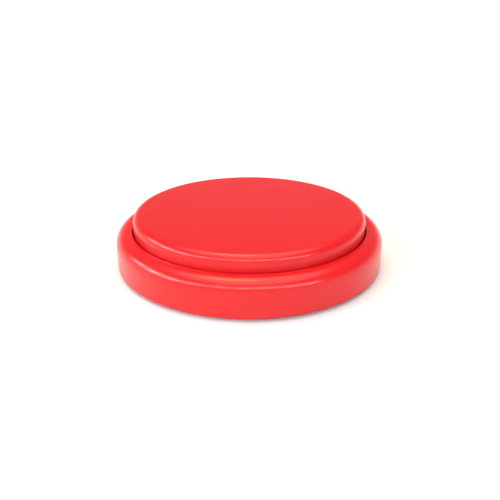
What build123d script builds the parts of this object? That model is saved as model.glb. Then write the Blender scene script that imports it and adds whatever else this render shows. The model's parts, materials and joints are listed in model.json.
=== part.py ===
from build123d import *

import math
import os

# Quiz buzzer: a low round base ring with one large push cap, which presses a switch on a
# sound board. Millimetres. The origin is on the table under the middle, +Z is up, and the
# front is -Y. The battery bay is in the front half, the speaker at the rear left and the
# circuit board at the rear right.

# Outer form
BASE_RADIUS = 50.0
FOOT_STAND = 1.0                # the rubber feet hold the base this far off the table
BASE_HEIGHT = 13.3              # base ring, from its lower edge to its flat top
SHOULDER_RADIUS = 4.5
LOWER_EDGE_RADIUS = 0.7
SHELL = 2.2
CAP_RADIUS = 43.55
CAP_GAP = 0.4                   # running gap between cap and base ring
CAP_RISE = 5.8                  # cap's flat top above the ring's flat top
CAP_EDGE_RADIUS = 2.85
CAP_WALL = 2.0
TRAVEL = 2.5                    # the cap's stroke
PLAY = 0.05                     # clearance at stops and between flat faces
CLOSE_FIT = 0.15                # clearance round parts that are put in or slide
LOOSE_FIT = 0.2                 # clearance round heads and seats
PIN_FIT = 0.06                  # clearance round the switch's small pins
OVERRUN = 0.1                   # how far cuts run past a face and joins run into a wall
PRESS_CLEARANCE = 0.4           # left under the pressed cap
BLIND_FLOOR = 1.0               # height above the cover's underside at which its blind holes end
BLIND_ROOF = 0.4                # plastic left above the blind holes of the screw bosses

# Levels that follow from them
BASE_Z = FOOT_STAND
RING_TOP_Z = BASE_Z + BASE_HEIGHT
CAP_TOP_Z = RING_TOP_Z + CAP_RISE
CAP_UNDER_Z = CAP_TOP_Z - CAP_WALL

# Base ring
WELL_RADIUS = CAP_RADIUS + CAP_GAP
COLLAR_WALL = 1.6
COLLAR_DEPTH = 4.0
COLLAR_Z = RING_TOP_Z - COLLAR_DEPTH
INNER_RADIUS = BASE_RADIUS - SHELL
RIM_EDGE_RADIUS = 0.3
QUARTERS = (0, 90, 180, 270)
DIAGONALS = (45, 135, 225, 315)

# Bottom cover and its screws
COVER_THICK = 2.0
FLOOR_Z = BASE_Z + COVER_THICK
COVER_RADIUS = INNER_RADIUS - 0.1
SCREW_CIRCLE = 44.4
COVER_PAD_HEIGHT = 1.5
BOSS_RADIUS = 3.5
COVER_PAD_RADIUS = 2.9
COVER_SCREW_RADIUS = 1.2
COVER_SCREW_LENGTH = 5.2
COVER_HEAD_RADIUS = 2.3
COVER_HEAD_HEIGHT = 1.3
COVER_SEAT_DEPTH = 1.8
THREAD_PLAY = 0.05

# Cap skirt, snap legs, guide pins and springs
SKIRT_DEPTH = 6.6
SKIRT_Z = CAP_UNDER_Z - SKIRT_DEPTH
BOSS_TOP_Z = SKIRT_Z - TRAVEL - PRESS_CLEARANCE
CAP_INNER_EDGE_RADIUS = 1.0
LEG_WALL = 1.4
LEG_Z = 8.0
LEG_ARC = 10.0
LEG_ROOT = 0.5                  # how far a leg runs up into the skirt
LEG_TIP_REACH = 0.3
BARB_HEIGHT = 0.7
BARB_REACH = 1.35
GUSSET_COUNT = 12
GUSSET_REACH = 1.7
GUSSET_DEPTH = 3.6
GUSSET_THICK = 1.0
GUSSET_ROOT = 0.2
GUIDE_CIRCLE = 36.0
GUIDE_PIN_RADIUS = 1.5
GUIDE_PLAY = 0.08
GUIDE_TUBE_RADIUS = 2.6
GUIDE_PIN_TIP_Z = 5.0
PIN_ROOT_RADIUS = 2.5
PIN_ROOT_DEPTH = 2.9
GUIDE_TUBE_TOP_Z = CAP_UNDER_Z - PIN_ROOT_DEPTH - TRAVEL - PRESS_CLEARANCE
SPRING_WIRE_RADIUS = 0.25
SPRING_MEAN_RADIUS = 3.05
SPRING_TURNS = 7

# Battery bay: two AAA cells side by side along X
CELL_LENGTH = 44.5
CELL_RADIUS = 5.15
CELL_PITCH = 11.0
CELL_NUB_RADIUS = 1.9
CELL_NUB_LENGTH = 0.8
CELL_EDGE_RADIUS = 0.4
BAY_Y = -17.05
BAY_LENGTH = 49.5
BAY_WIDTH = 22.0
BAY_WALL = 1.5
BAY_ROOF_Z = 13.7
BAY_ROOF_THICK = 1.2
BAY_CORNER_RADIUS = 2.0
CELL_Z = 8.3
CELL_ROWS = (BAY_Y + CELL_PITCH / 2, BAY_Y - CELL_PITCH / 2)
CONTACT_THICK = 0.3
CONTACT_BUMP = 0.6
CONTACT_X = BAY_LENGTH / 2 - PLAY
CONTACT_Z = (5.0, 11.8)
CONTACT_WIDTH = 8.0
CONTACT_WIRE_RADIUS = 0.3
CONTACT_TURNS = 3
CONTACT_COIL_RADIUS = 3.4
CONTACT_BUMP_RADII = (1.9, 1.6)
TAB_Z = 8.6
TAB_WIDTH = 2.0
TAB_REACH = 3.4
TAB_FIT = 0.1
RIB_THICK = 0.7
RIB_LAP = 0.2                   # how far the retaining ribs reach over a contact's edge
RIB_STEM = 2.8

# Battery door
DOOR_THICK = 1.6
DOOR_Z = BASE_Z
DOOR_LEDGE = 0.65
DOOR_PLAY = 0.2
DOOR_CORNER = 1.3
DOOR_NOSE_RADIUS = (DOOR_THICK - PLAY) / 2
HINGE_X = BAY_LENGTH / 2 + DOOR_LEDGE - DOOR_PLAY - DOOR_NOSE_RADIUS
HINGE_Z = DOOR_Z + DOOR_NOSE_RADIUS
TONGUE_WIDTH = 6.0
TONGUE_THICK = 0.8
TONGUE_IN = 1.4
TONGUE_OUT = 1.5
TONGUE_PLAY = 0.3
LIP_PLAY = 0.1
TONGUE_SLOT_HEIGHT = 1.9
EAR_X = -28.7
EAR_RADIUS = 3.2
DOOR_SCREW_RADIUS = 0.95
DOOR_SCREW_LENGTH = 3.0
DOOR_HEAD_RADIUS = 1.9
DOOR_HEAD_HEIGHT = 0.8
DOOR_SEAT_DEPTH = 0.9
DOOR_HOLE_PLAY = 0.25
DOOR_BOSS_RADIUS = 2.75
DOOR_BOSS_TOP_Z = 6.4
GRIP_GROOVES_X = (-20.4, -18.0, -15.6)
GRIP_GROOVE = (1.2, 10.0, 0.5)

# Circuit board
BOARD_Z = 4.6
BOARD_THICK = 1.6
BOARD_TOP_Z = BOARD_Z + BOARD_THICK
BOARD_X = (-4.5, 31.5)
BOARD_Y = (-3.5, 31.5)
BOARD_LIMIT_RADIUS = 40.0
STANDOFFS = ((-1.0, 28.0), (24.0, 25.5), (20.5, 0.0))
STANDOFF_RADIUS = 2.2
BOARD_SCREW_RADIUS = 0.9
BOARD_SCREW = (3.4, 1.8, 1.2)      # shaft length, head radius, head height
CHIP_AT = (13.0, 19.0)
CHIP_RADIUS = 4.2
CHIP_HEIGHT = 1.4
CHIP_EDGE_RADIUS = 1.2
CAPACITOR_AT = (26.0, 11.5)
CAPACITOR_RADIUS = 2.5
CAPACITOR_HEIGHT = 7.0
CAPACITOR_EDGE_RADIUS = 0.4
RESISTORS_AT = ((6.6, 9.8), (11.1, 9.8), (15.6, 9.8))
RESISTOR_SIZE = (3.2, 1.6, 0.7)

# Microswitch under the cap's post
SWITCH_X = (2.0, 14.8)
SWITCH_HALF_WIDTH = 2.9
SWITCH_HEIGHT = 6.5
SWITCH_TOP_Z = BOARD_TOP_Z + SWITCH_HEIGHT
SWITCH_PINS_X = (3.4, 8.4, 13.4)
SWITCH_PIN_RADIUS = 0.45
PIN_HOLE_FIT = 0.1
PIN_OUT = 0.4                   # how far the switch's pins stand out under the board
SWITCH_EDGE_RADIUS = 0.4
EAR_HALF_WIDTH = 0.9
PIVOT_X = 3.2
PIVOT_Z = SWITCH_TOP_Z + 0.8
PIVOT_RADIUS = 0.3
LEVER_ANGLE = 15.5
LEVER_EYE_RADIUS = 0.7
EAR_THICK = 0.75
LEVER_THICK = 0.3
LEVER_LENGTH = 12.0
LEVER_HALF_WIDTH = 1.6
POST_X = 13.0
POST_RADIUS = 1.2
POST_PLAY = 0.12
PLUNGER_X = 6.5
PLUNGER_RADIUS = 0.7
PLUNGER_PLAY = 0.1
PLUNGER_HOLE_DEPTH = 2.7
PLUNGER_DEPTH = 1.7

# Speaker, facing down onto the grille
SPEAKER_X = -20.0
SPEAKER_Y = 17.0
SPEAKER_RADIUS = 14.0
GASKET_THICK = 0.5
FLANGE_Z = FLOOR_Z + GASKET_THICK
FLANGE_THICK = 0.8
CLAMP_Z = FLANGE_Z + FLANGE_THICK
CLAMP_THICK = 0.8
CLAMP_ANGLES = (60, 180, 300)
CLAMP_CIRCLE = 16.6
CLAMP_EAR_RADIUS = 2.2
SPEAKER_SCREW_RADIUS = 0.8
SPEAKER_SCREW = (2.7, 1.7, 1.1)    # shaft length, head radius, head height
TERMINAL_X = -7.0
TERMINAL_SIZE = (2.8, 7.0, 0.8)
SEAT_RING = 1.2                 # height and wall of the ring round the speaker
GASKET_INNER_RADIUS = 11.6
CONE_RIM_RADIUS = 12.2
FLANGE_INNER_RADIUS = 12.6
CLAMP_INNER_RADIUS = 12.9
BASKET_BACK_RADIUS = 7.5
BASKET_DEPTH = 3.5
BASKET_WALL = 0.5
MAGNET_RADIUS = 6.0
MAGNET_THICK = 1.6
MAGNET_EDGE_RADIUS = 0.3
CLAMP_RIM = 0.8                 # how far the clamp ring reaches past the speaker
GRILLE_RADIUS = 11.0
GRILLE_SLOTS = 7
GRILLE_SLOT_WIDTH = 1.2
GRILLE_PITCH = 2.9

# Power switch, worked from below through a slot in the cover
POWER_X = 33.5
POWER_Y = -16.0
POWER_TRAVEL = 2.0
POWER_FLANGE = (4.4, 14.6, 0.4)
POWER_CAN = (3.6, 8.6, 3.5)
POWER_STEM = 1.6
POWER_BLOCK = (2.4, 3.6, 1.6)
POWER_PEG_OFFSET = 5.8
POWER_PEG_RADIUS = 0.8
POWER_TERMINALS = (-2.2, 0.0, 2.2)
POWER_TERMINAL_HEIGHT = 1.2
POWER_TERMINAL_RADIUS = 0.35
POWER_PEG_HEIGHT = 1.2
POWER_SLOT_PLATE = 0.2           # steel left under the sliding block, above the flange
POWER_BLOCK_FIT = 0.1
POWER_RECESS = (12.0, 7.0, 0.8)    # length, width, depth of the finger recess

# Rubber feet and leads
FOOT_CIRCLE = 43.0
FOOT_RADIUS = 3.5
FOOT_RECESS = 0.6
FOOT_EDGE_RADIUS = 0.4
LEAD_RADIUS = 0.5

os.makedirs("parts", exist_ok=True)


def save(part, name):
    part.label = name
    export_step(part, f"parts/{name}.step")


def radial_plane(angle):
    """Upright plane through the Z axis: local x points outwards at this angle, local y is up."""
    a = math.radians(angle)
    return Plane(origin=(0, 0, 0), x_dir=(math.cos(a), math.sin(a), 0), z_dir=(math.sin(a), -math.cos(a), 0))


def on_circle(radius, angle):
    return radius * math.cos(math.radians(angle)), radius * math.sin(math.radians(angle))


def round_corner(sketch, x, y, radius):
    fillet(sketch.vertices().sort_by_distance((x, y, 0))[0], radius=radius)


def block(x_range, y_range, z_range, mode=Mode.ADD):
    """A box between two limits along each axis."""
    spans = [high - low for low, high in (x_range, y_range, z_range)]
    middle = tuple((low + high) / 2 for low, high in (x_range, y_range, z_range))
    with Locations(middle):
        Box(*spans, mode=mode)


def disc(x, y, low, high, radius, mode=Mode.ADD):
    """An upright cylinder between two levels."""
    with Locations((x, y, low)):
        Cylinder(radius, high - low, align=(Align.CENTER, Align.CENTER, Align.MIN), mode=mode)


def screw(seat, shaft_radius, shaft_length, head_radius, head_height):
    """A pan-head screw: its head stands on the seat plane and its shaft runs the other way."""
    low_align = (Align.CENTER, Align.CENTER, Align.MIN)
    high_align = (Align.CENTER, Align.CENTER, Align.MAX)
    rim = head_radius - 0.3 * head_height
    with Locations(seat):
        Cylinder(head_radius, 0.5 * head_height, align=low_align)
        Cylinder(shaft_radius, shaft_length, align=high_align)
    with Locations(seat.offset(0.5 * head_height)):
        Cone(head_radius, rim, 0.5 * head_height, align=low_align)
    with Locations(seat.offset(head_height)):
        Box(1.1 * head_radius, 0.25 * head_radius, 0.5 * head_height, align=high_align, mode=Mode.SUBTRACT)
        Box(0.25 * head_radius, 1.1 * head_radius, 0.5 * head_height, align=high_align, mode=Mode.SUBTRACT)


# ---------------------------------------------------------------- outer mouldings

with BuildPart() as base_housing:
    collar_radius = WELL_RADIUS + COLLAR_WALL
    under_shoulder_z = RING_TOP_Z - SHELL
    with BuildSketch(Plane.XZ) as ring_section:
        with BuildLine():
            Polyline(
                (INNER_RADIUS, BASE_Z),
                (BASE_RADIUS, BASE_Z),
                (BASE_RADIUS, RING_TOP_Z),
                (WELL_RADIUS, RING_TOP_Z),
                (WELL_RADIUS, COLLAR_Z),
                (collar_radius, COLLAR_Z),
                (collar_radius, under_shoulder_z),
                (INNER_RADIUS, under_shoulder_z),
                close=True,
            )
        make_face()
        round_corner(ring_section, BASE_RADIUS, RING_TOP_Z, SHOULDER_RADIUS)
        round_corner(ring_section, BASE_RADIUS, BASE_Z, LOWER_EDGE_RADIUS)
        round_corner(ring_section, WELL_RADIUS, RING_TOP_Z, RIM_EDGE_RADIUS)
        round_corner(ring_section, INNER_RADIUS, under_shoulder_z, SHOULDER_RADIUS - SHELL - OVERRUN)
    revolve(axis=Axis.Z)
    # Screw bosses, joined to the wall and clear below the pressed cap's skirt
    boss_z = FLOOR_Z + COVER_PAD_HEIGHT
    for quarter in QUARTERS:
        x, y = on_circle(SCREW_CIRCLE, quarter)
        disc(x, y, boss_z, BOSS_TOP_Z, BOSS_RADIUS)
        disc(x, y, boss_z, BOSS_TOP_Z - BLIND_ROOF, COVER_SCREW_RADIUS + THREAD_PLAY, Mode.SUBTRACT)
save(base_housing.part, "base_housing")

with BuildPart() as bottom_cover:
    disc(0, 0, BASE_Z, FLOOR_Z, COVER_RADIUS)
    # Battery bay: walls and roof as one block, then the hollow and the door's rebate
    with BuildSketch(Plane.XY.offset(BASE_Z + DOOR_THICK)):
        with Locations((0, BAY_Y)):
            RectangleRounded(BAY_LENGTH + 2 * BAY_WALL, BAY_WIDTH + 2 * BAY_WALL, BAY_CORNER_RADIUS)
    extrude(amount=BAY_ROOF_Z + BAY_ROOF_THICK - BASE_Z - DOOR_THICK)
    # Door screw boss
    disc(EAR_X, BAY_Y, FLOOR_Z, DOOR_BOSS_TOP_Z, DOOR_BOSS_RADIUS)
    with BuildSketch(Plane.XY.offset(BASE_Z)):
        with Locations((0, BAY_Y)):
            Rectangle(BAY_LENGTH, BAY_WIDTH)
    extrude(amount=BAY_ROOF_Z - BASE_Z, mode=Mode.SUBTRACT)
    with BuildSketch(Plane.XY.offset(BASE_Z)) as rebate:
        with Locations((0, BAY_Y)):
            Rectangle(BAY_LENGTH + 2 * DOOR_LEDGE, BAY_WIDTH + 2 * DOOR_LEDGE)
        fillet(rebate.vertices().group_by(Axis.X)[0], radius=DOOR_CORNER + DOOR_PLAY)
        with Locations((EAR_X, BAY_Y)):
            Circle(EAR_RADIUS + DOOR_PLAY)
        with Locations((EAR_X / 2 - BAY_LENGTH / 4, BAY_Y)):
            Rectangle(-EAR_X - BAY_LENGTH / 2, 2 * (EAR_RADIUS + DOOR_PLAY))
    extrude(amount=DOOR_THICK, mode=Mode.SUBTRACT)
    disc(EAR_X, BAY_Y, BASE_Z, DOOR_BOSS_TOP_Z - BLIND_ROOF, DOOR_SCREW_RADIUS + DOOR_HOLE_PLAY, Mode.SUBTRACT)
    # Slot in the bay's right wall for the door's tongue, tall enough for the door to tip out
    block(
        (BAY_LENGTH / 2 - OVERRUN, BAY_LENGTH / 2 + BAY_WALL + OVERRUN),
        (BAY_Y - TONGUE_WIDTH / 2 - TONGUE_PLAY, BAY_Y + TONGUE_WIDTH / 2 + TONGUE_PLAY),
        (FLOOR_Z, FLOOR_Z + TONGUE_SLOT_HEIGHT),
        Mode.SUBTRACT,
    )
    # Ribs that keep the contacts against the end walls: at the side walls, and between the left pair
    rib_front_x = CONTACT_X - CONTACT_THICK - PLAY - RIB_THICK
    rib_back_x = rib_front_x + RIB_THICK
    rib_z = (CONTACT_Z[0], BAY_ROOF_Z + OVERRUN)
    plate_inner = (CELL_PITCH - CONTACT_WIDTH) / 2
    plate_outer = (CELL_PITCH + CONTACT_WIDTH) / 2
    for side in (-1, 1):
        rib_x = sorted((side * rib_front_x, side * rib_back_x))
        for edge in (-1, 1):
            rib_y = sorted((BAY_Y + edge * (plate_outer - RIB_LAP), BAY_Y + edge * (BAY_WIDTH / 2 + OVERRUN)))
            block(rib_x, rib_y, rib_z)
    block((-BAY_LENGTH / 2 - OVERRUN, -rib_front_x), (BAY_Y - RIB_STEM / 2, BAY_Y + RIB_STEM / 2), rib_z)
    middle_rib_y = (BAY_Y - plate_inner - RIB_LAP, BAY_Y + plate_inner + RIB_LAP)
    block((-rib_back_x, -rib_front_x), middle_rib_y, rib_z)
    # Slots in the left wall for the contacts' solder tabs
    for row in CELL_ROWS:
        block(
            (-BAY_LENGTH / 2 - BAY_WALL - OVERRUN, -BAY_LENGTH / 2 + OVERRUN),
            (row - TAB_WIDTH / 2 - TAB_FIT, row + TAB_WIDTH / 2 + TAB_FIT),
            (TAB_Z - TAB_FIT, TAB_Z + CONTACT_THICK + TAB_FIT),
            Mode.SUBTRACT,
        )
    # Guide tubes for the cap's pins; the return springs stand round them
    for quarter in QUARTERS:
        x, y = on_circle(GUIDE_CIRCLE, quarter)
        disc(x, y, FLOOR_Z, GUIDE_TUBE_TOP_Z, GUIDE_TUBE_RADIUS)
        disc(x, y, BASE_Z + BLIND_FLOOR, GUIDE_TUBE_TOP_Z, GUIDE_PIN_RADIUS + GUIDE_PLAY, Mode.SUBTRACT)
    # Counterbored pads for the cover screws
    for quarter in QUARTERS:
        x, y = on_circle(SCREW_CIRCLE, quarter)
        disc(x, y, FLOOR_Z, FLOOR_Z + COVER_PAD_HEIGHT, COVER_PAD_RADIUS)
        disc(x, y, BASE_Z, BASE_Z + COVER_SEAT_DEPTH, COVER_HEAD_RADIUS + LOOSE_FIT, Mode.SUBTRACT)
        disc(x, y, BASE_Z, FLOOR_Z + COVER_PAD_HEIGHT, COVER_SCREW_RADIUS + CLOSE_FIT, Mode.SUBTRACT)
    # Recesses for the feet
    for diagonal in DIAGONALS:
        x, y = on_circle(FOOT_CIRCLE, diagonal)
        disc(x, y, BASE_Z, BASE_Z + FOOT_RECESS, FOOT_RADIUS + PLAY, Mode.SUBTRACT)
    # Board standoffs
    for x, y in STANDOFFS:
        disc(x, y, FLOOR_Z, BOARD_Z, STANDOFF_RADIUS)
        disc(x, y, BASE_Z + BLIND_FLOOR, BOARD_Z, BOARD_SCREW_RADIUS + THREAD_PLAY, Mode.SUBTRACT)
    # Speaker seat: locating ring, clamp bosses and grille slots
    disc(SPEAKER_X, SPEAKER_Y, FLOOR_Z, FLOOR_Z + SEAT_RING, SPEAKER_RADIUS + SEAT_RING)
    for angle in CLAMP_ANGLES:
        dx, dy = on_circle(CLAMP_CIRCLE, angle)
        disc(SPEAKER_X + dx, SPEAKER_Y + dy, FLOOR_Z, CLAMP_Z, CLAMP_EAR_RADIUS)
    disc(SPEAKER_X, SPEAKER_Y, FLOOR_Z, CLAMP_Z, SPEAKER_RADIUS + LOOSE_FIT, Mode.SUBTRACT)
    for angle in CLAMP_ANGLES:
        dx, dy = on_circle(CLAMP_CIRCLE, angle)
        disc(
            SPEAKER_X + dx, SPEAKER_Y + dy, BASE_Z + BLIND_FLOOR, CLAMP_Z,
            SPEAKER_SCREW_RADIUS + THREAD_PLAY, Mode.SUBTRACT,
        )
    with BuildSketch(Plane.XY.offset(BASE_Z)):
        for i in range(GRILLE_SLOTS):
            offset_y = (i - (GRILLE_SLOTS - 1) / 2) * GRILLE_PITCH
            half_chord = math.sqrt(GRILLE_RADIUS**2 - offset_y**2)
            with Locations((SPEAKER_X, SPEAKER_Y + offset_y)):
                SlotOverall(2 * half_chord, GRILLE_SLOT_WIDTH)
    extrude(amount=COVER_THICK, mode=Mode.SUBTRACT)
    # Power switch: finger recess, slot and two pegs
    with BuildSketch(Plane.XY.offset(BASE_Z)):
        with Locations((POWER_X, POWER_Y)):
            SlotOverall(POWER_RECESS[0], POWER_RECESS[1], rotation=90)
    extrude(amount=POWER_RECESS[2], mode=Mode.SUBTRACT)
    slot_length = POWER_STEM + POWER_TRAVEL + 2 * LOOSE_FIT
    block(
        (POWER_X - POWER_STEM / 2 - CLOSE_FIT, POWER_X + POWER_STEM / 2 + CLOSE_FIT),
        (POWER_Y - slot_length / 2, POWER_Y + slot_length / 2),
        (BASE_Z, FLOOR_Z),
        Mode.SUBTRACT,
    )
    for side in (-1, 1):
        peg_y = POWER_Y + side * POWER_PEG_OFFSET
        disc(POWER_X, peg_y, FLOOR_Z, FLOOR_Z + POWER_PEG_HEIGHT, POWER_PEG_RADIUS)
save(bottom_cover.part, "bottom_cover")

# The switch lever's line at rest sets the height of the cap's post and of the plunger
lever_slope = math.tan(math.radians(LEVER_ANGLE))
lever_cos = math.cos(math.radians(LEVER_ANGLE))
post_centre_z = (
    PIVOT_Z + (POST_X - PIVOT_X) * lever_slope + (POST_RADIUS + POST_PLAY + LEVER_THICK / 2) / lever_cos
)
plunger_centre_z = (
    PIVOT_Z + (PLUNGER_X - PIVOT_X) * lever_slope
    - (PLUNGER_RADIUS + PLUNGER_PLAY + LEVER_THICK / 2) / lever_cos
)

with BuildPart() as button_cap:
    with BuildSketch(Plane.XZ) as cap_section:
        with BuildLine():
            Polyline(
                (0, CAP_UNDER_Z),
                (CAP_RADIUS - CAP_WALL, CAP_UNDER_Z),
                (CAP_RADIUS - CAP_WALL, SKIRT_Z),
                (CAP_RADIUS, SKIRT_Z),
                (CAP_RADIUS, CAP_TOP_Z),
                (0, CAP_TOP_Z),
                close=True,
            )
        make_face()
        round_corner(cap_section, CAP_RADIUS, CAP_TOP_Z, CAP_EDGE_RADIUS)
        round_corner(cap_section, CAP_RADIUS - CAP_WALL, CAP_UNDER_Z, CAP_INNER_EDGE_RADIUS)
    revolve(axis=Axis.Z)
    # Snap legs, whose barbs catch under the base ring's collar
    barb_z = COLLAR_Z - PLAY
    for diagonal in DIAGONALS:
        with BuildSketch(radial_plane(diagonal - LEG_ARC / 2)):
            with BuildLine():
                Polyline(
                    (CAP_RADIUS - LEG_WALL, SKIRT_Z + LEG_ROOT),
                    (CAP_RADIUS - LEG_WALL, LEG_Z),
                    (CAP_RADIUS + LEG_TIP_REACH, LEG_Z),
                    (CAP_RADIUS + BARB_REACH, barb_z - BARB_HEIGHT),
                    (CAP_RADIUS + BARB_REACH, barb_z),
                    (CAP_RADIUS - PLAY, barb_z),
                    (CAP_RADIUS - PLAY, SKIRT_Z + LEG_ROOT),
                    close=True,
                )
            make_face()
        revolve(axis=Axis.Z, revolution_arc=LEG_ARC)
    # Gussets between the skirt and the top plate
    gusset_outer = CAP_RADIUS - CAP_WALL + GUSSET_ROOT
    for i in range(GUSSET_COUNT):
        with BuildSketch(radial_plane((i + 0.5) * 360 / GUSSET_COUNT)):
            with BuildLine():
                Polyline(
                    (gusset_outer - GUSSET_REACH, CAP_UNDER_Z + GUSSET_ROOT),
                    (gusset_outer, CAP_UNDER_Z + GUSSET_ROOT),
                    (gusset_outer, CAP_UNDER_Z - GUSSET_DEPTH),
                    close=True,
                )
            make_face()
        extrude(amount=GUSSET_THICK / 2, both=True)
    # Guide pins on thick roots
    for quarter in QUARTERS:
        x, y = on_circle(GUIDE_CIRCLE, quarter)
        disc(x, y, CAP_UNDER_Z - PIN_ROOT_DEPTH, CAP_UNDER_Z, PIN_ROOT_RADIUS)
        disc(x, y, GUIDE_PIN_TIP_Z, CAP_UNDER_Z - PIN_ROOT_DEPTH, GUIDE_PIN_RADIUS)
    # Post over the switch lever, with a round tip
    disc(POST_X, 0, post_centre_z, CAP_UNDER_Z, POST_RADIUS)
    with Locations((POST_X, 0, post_centre_z)):
        Sphere(POST_RADIUS)
save(button_cap.part, "button_cap")

for i, quarter in enumerate(QUARTERS):
    x, y = on_circle(GUIDE_CIRCLE, quarter)
    coil_height = CAP_UNDER_Z - FLOOR_Z - 2 * SPRING_WIRE_RADIUS
    with BuildPart() as return_spring:
        with BuildLine() as coil:
            Helix(
                pitch=coil_height / SPRING_TURNS, height=coil_height, radius=SPRING_MEAN_RADIUS,
                center=(x, y, FLOOR_Z + SPRING_WIRE_RADIUS),
            )
        with BuildSketch(Plane(origin=coil.line @ 0, z_dir=coil.line % 0)):
            Circle(SPRING_WIRE_RADIUS)
        sweep(path=coil.line, is_frenet=True)
    save(return_spring.part, f"return_spring_{i + 1}")

for i, diagonal in enumerate(DIAGONALS):
    x, y = on_circle(FOOT_CIRCLE, diagonal)
    with BuildPart() as rubber_foot:
        disc(x, y, 0, FOOT_STAND + FOOT_RECESS, FOOT_RADIUS)
        fillet(rubber_foot.edges().group_by(Axis.Z)[0], radius=FOOT_EDGE_RADIUS)
    save(rubber_foot.part, f"rubber_foot_{i + 1}")

with BuildPart() as cover_screws:
    for quarter in QUARTERS:
        x, y = on_circle(SCREW_CIRCLE, quarter)
        seat = Plane(origin=(x, y, BASE_Z + COVER_SEAT_DEPTH), x_dir=(1, 0, 0), z_dir=(0, 0, -1))
        screw(seat, COVER_SCREW_RADIUS, COVER_SCREW_LENGTH, COVER_HEAD_RADIUS, COVER_HEAD_HEIGHT)
save(cover_screws.part, "cover_screws")

# ---------------------------------------------------------------- battery bay and door

with BuildPart() as battery_door:
    # Plate with a full-round nose along its right edge; the door swings about the nose's axis
    plate_edge = DOOR_LEDGE - DOOR_PLAY
    plate_left = -BAY_LENGTH / 2 - plate_edge
    plate_top_z = DOOR_Z + 2 * DOOR_NOSE_RADIUS
    with BuildSketch(Plane(origin=(0, BAY_Y, 0), x_dir=(1, 0, 0), z_dir=(0, -1, 0))):
        with BuildLine():
            Polyline((HINGE_X, DOOR_Z), (plate_left, DOOR_Z), (plate_left, plate_top_z), (HINGE_X, plate_top_z))
            ThreePointArc((HINGE_X, plate_top_z), (HINGE_X + DOOR_NOSE_RADIUS, HINGE_Z), (HINGE_X, DOOR_Z))
        make_face()
    extrude(amount=BAY_WIDTH / 2 + plate_edge, both=True)
    fillet(battery_door.edges().filter_by(Axis.Z).group_by(Axis.X)[0], radius=DOOR_CORNER)
    with BuildSketch(Plane.XY.offset(DOOR_Z)):
        with Locations((EAR_X, BAY_Y)):
            Circle(EAR_RADIUS)
        with Locations((EAR_X / 2 - BAY_LENGTH / 4, BAY_Y)):
            Rectangle(-EAR_X - BAY_LENGTH / 2, 2 * EAR_RADIUS)
    extrude(amount=2 * DOOR_NOSE_RADIUS)
    # Tongue over the cover's ledge: a riser inside the bay and a lip through the wall's slot
    tongue_y = (BAY_Y - TONGUE_WIDTH / 2, BAY_Y + TONGUE_WIDTH / 2)
    lip_z = FLOOR_Z + LIP_PLAY
    riser_x = (BAY_LENGTH / 2 - TONGUE_IN, BAY_LENGTH / 2 - LOOSE_FIT)
    block(riser_x, tongue_y, (HINGE_Z, lip_z + TONGUE_THICK))
    block((sum(riser_x) / 2, BAY_LENGTH / 2 + TONGUE_OUT), tongue_y, (lip_z, lip_z + TONGUE_THICK))
    disc(EAR_X, BAY_Y, DOOR_Z, DOOR_Z + DOOR_THICK, DOOR_SCREW_RADIUS + CLOSE_FIT, Mode.SUBTRACT)
    disc(EAR_X, BAY_Y, DOOR_Z, DOOR_Z + DOOR_SEAT_DEPTH, DOOR_HEAD_RADIUS + LOOSE_FIT, Mode.SUBTRACT)
    # Finger grip: shallow grooves across the free end
    with Locations([(x, BAY_Y, DOOR_Z) for x in GRIP_GROOVES_X]):
        Box(*GRIP_GROOVE, align=(Align.CENTER, Align.CENTER, Align.MIN), mode=Mode.SUBTRACT)
save(battery_door.part, "battery_door")

with BuildPart() as battery_door_screw:
    seat = Plane(origin=(EAR_X, BAY_Y, DOOR_Z + DOOR_SEAT_DEPTH), x_dir=(1, 0, 0), z_dir=(0, 0, -1))
    screw(seat, DOOR_SCREW_RADIUS, DOOR_SCREW_LENGTH, DOOR_HEAD_RADIUS, DOOR_HEAD_HEIGHT)
save(battery_door_screw.part, "battery_door_screw")

cell_tip_x = CONTACT_X - CONTACT_THICK - CONTACT_BUMP
for i, (row, facing) in enumerate(zip(CELL_ROWS, (-1, 1))):
    # Each cell's nub points along facing, and its flat end presses on a spring
    start = Plane(origin=(facing * cell_tip_x, row, CELL_Z), x_dir=(0, 1, 0), z_dir=(-facing, 0, 0))
    with BuildPart() as battery_cell:
        with BuildSketch(start):
            Circle(CELL_NUB_RADIUS)
        extrude(amount=CELL_NUB_LENGTH)
        with BuildSketch(start.offset(CELL_NUB_LENGTH)):
            Circle(CELL_RADIUS)
        extrude(amount=CELL_LENGTH - CELL_NUB_LENGTH)
        rims = battery_cell.edges().filter_by(GeomType.CIRCLE).filter_by(lambda e: e.radius > CELL_RADIUS - 0.1)
        fillet(rims, radius=CELL_EDGE_RADIUS)
    save(battery_cell.part, f"battery_cell_{i + 1}")

spring_height = BAY_LENGTH - 2 * PLAY - CONTACT_THICK - CELL_LENGTH - CONTACT_THICK - CONTACT_BUMP


def contact_plate(side, y_low, y_high):
    """A plate against one end wall: side is -1 at the left wall and 1 at the right."""
    wall_x = side * CONTACT_X
    block(sorted((wall_x, wall_x - side * CONTACT_THICK)), (y_low, y_high), CONTACT_Z)


def contact_bump(side, row):
    """A raised button for a cell's nub."""
    face = Plane(origin=(side * (CONTACT_X - CONTACT_THICK), row, CELL_Z), x_dir=(0, 1, 0), z_dir=(-side, 0, 0))
    with Locations(face):
        Cone(*CONTACT_BUMP_RADII, CONTACT_BUMP, align=(Align.CENTER, Align.CENTER, Align.MIN))


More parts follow.
